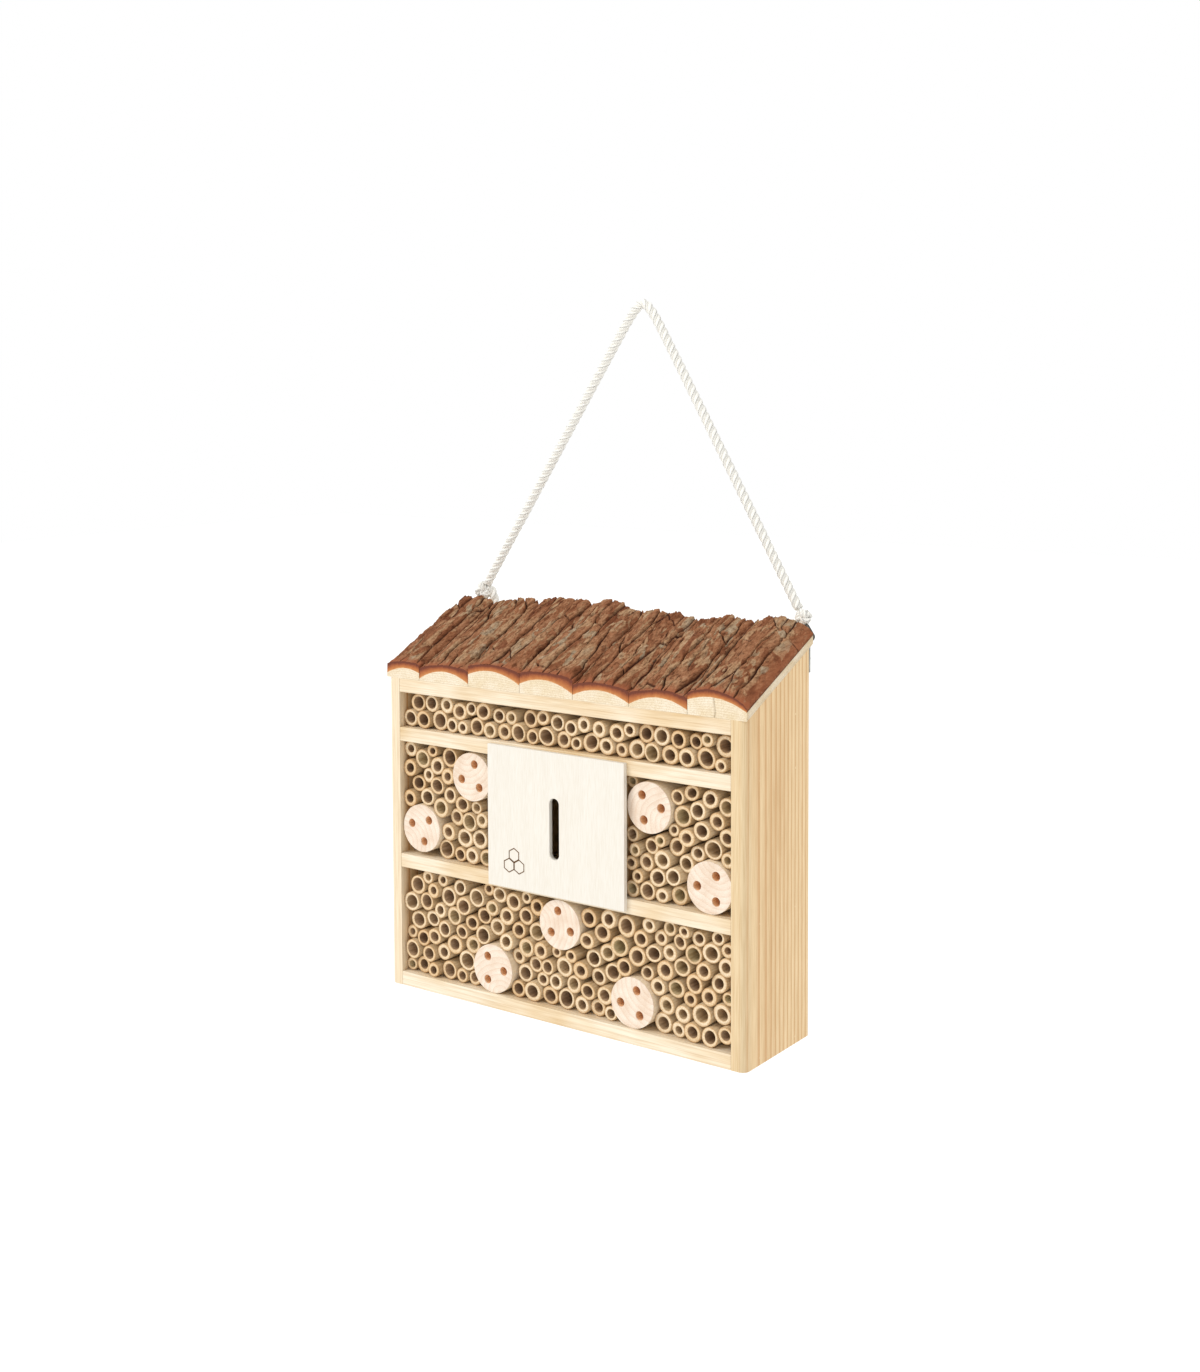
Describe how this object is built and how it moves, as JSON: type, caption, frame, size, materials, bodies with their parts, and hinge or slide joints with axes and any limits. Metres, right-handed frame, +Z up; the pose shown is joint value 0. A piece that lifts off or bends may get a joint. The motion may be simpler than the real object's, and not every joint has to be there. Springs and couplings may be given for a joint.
{
  "type": "insect hotel",
  "caption": "Hanging insect hotel: open pine case packed with cane tubes and drilled blocks, slotted butterfly plate, half-log bark roof and rope hanger.",
  "frame": {"origin": "the bend of the rope where it hangs on a hook", "axes": "+X to the hotel's right as seen from its open front, +Y towards its back, +Z up"},
  "size_m": [0.302, 0.104, 0.4945],
  "materials": {
    "bark_slab": "rough furrowed bark over pale sapwood",
    "cane": "natural cane, matt",
    "block_wood": "sanded end grain",
    "plywood": "sanded plywood",
    "cotton_rope": "twisted cotton",
    "steel": "dull zinc plate",
    "pine": "planed softwood, unfinished"
  },
  "bodies": {
    "hanger": {"rope": "cotton_rope", "knot_left": "cotton_rope", "knot_right": "cotton_rope", "hanger_ring_left": "steel", "hanger_ring_right": "steel"},
    "hotel": {"back_panel": "plywood", "back_panel_nails": "steel", "bottom_board": "pine", "bottom_tubes_1": "cane", "bottom_tubes_2": "cane", "bottom_tubes_3": "cane", "bottom_tubes_4": "cane", "entrance_plate": "plywood", "frame_brads": "steel", "hanger_screws": "steel", "hanger_strap_left": "steel", "hanger_strap_right": "steel", "left_divider": "pine", "left_side_board": "pine", "lower_shelf": "pine", "middle_tubes_left": "cane", "middle_tubes_right": "cane", "nest_block_1": "block_wood", "nest_block_2": "block_wood", "nest_block_3": "block_wood", "nest_block_4": "block_wood", "nest_block_5": "block_wood", "nest_block_6": "block_wood", "nest_block_7": "block_wood", "rear_rail": "pine", "right_divider": "pine", "right_side_board": "pine", "roof_slab_1": "bark_slab", "roof_slab_2": "bark_slab", "roof_slab_3": "bark_slab", "roof_slab_4": "bark_slab", "roof_slab_5": "bark_slab", "roof_slab_6": "bark_slab", "roof_slab_7": "bark_slab", "slab_nails": "steel", "top_board": "pine", "top_tubes_left": "cane", "top_tubes_right": "cane", "upper_shelf": "pine", "wide_tubes": "cane"}
  },
  "joints": [
    {"name": "hanger_swing", "type": "hinge", "parent": "hanger", "child": "hotel", "pos_m": [0, -0.0073, -0.2265], "axis": [1, 0, 0], "range_deg": [-10, 0]}
  ]
}
